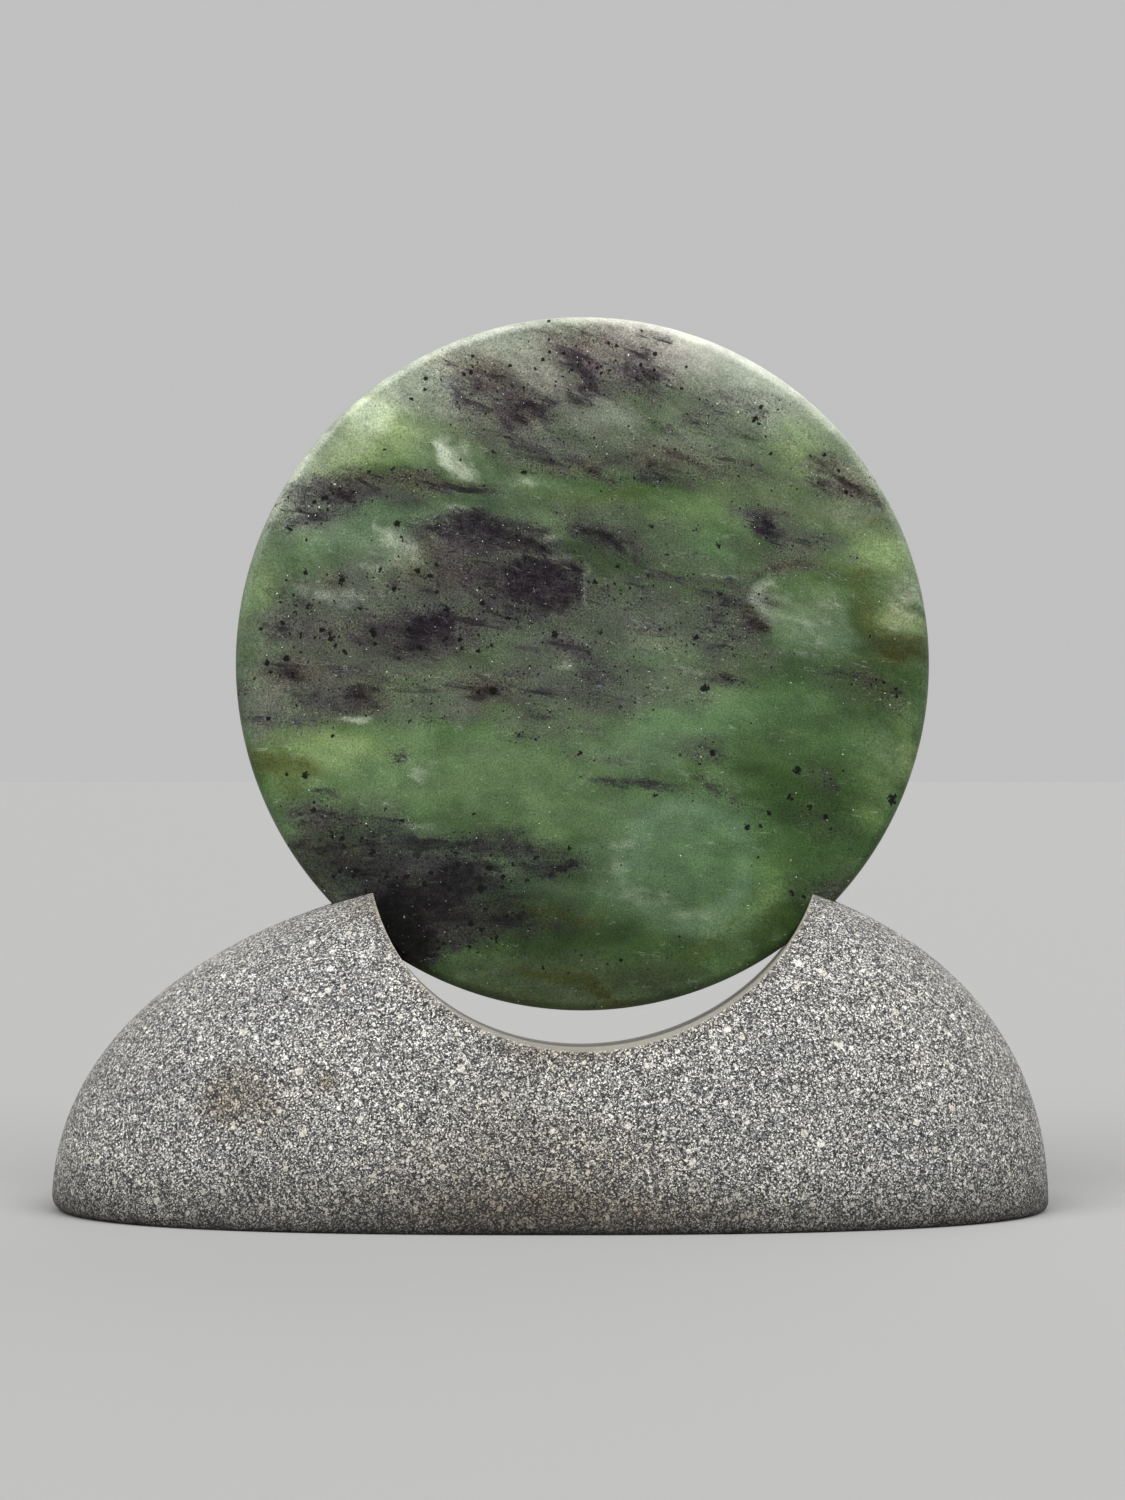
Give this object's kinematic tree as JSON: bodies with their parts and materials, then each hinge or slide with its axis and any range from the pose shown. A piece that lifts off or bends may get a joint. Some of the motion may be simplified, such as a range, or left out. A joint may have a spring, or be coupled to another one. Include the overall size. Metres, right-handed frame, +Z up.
{
  "type": "greenstone disc on a stone stand",
  "caption": "Polished round disc of dark-clouded green nephrite, standing on edge in a notched half-boulder of grey speckled stone.",
  "frame": {"origin": "on the ground under the middle of the stand", "axes": "+X along the stand to the viewer's right, +Y away from the viewer through the disc, +Z up"},
  "size_m": [0.2283, 0.115, 0.2043],
  "materials": {
    "nephrite": "satin-polished translucent green nephrite with purple-grey clouds and pale streaks",
    "andesite": "matte honed grey andesite, salt-and-pepper grain with small cream crystals"
  },
  "bodies": {
    "root": {"greenstone_disc": "nephrite", "stone_stand": "andesite"}
  },
  "joints": []
}
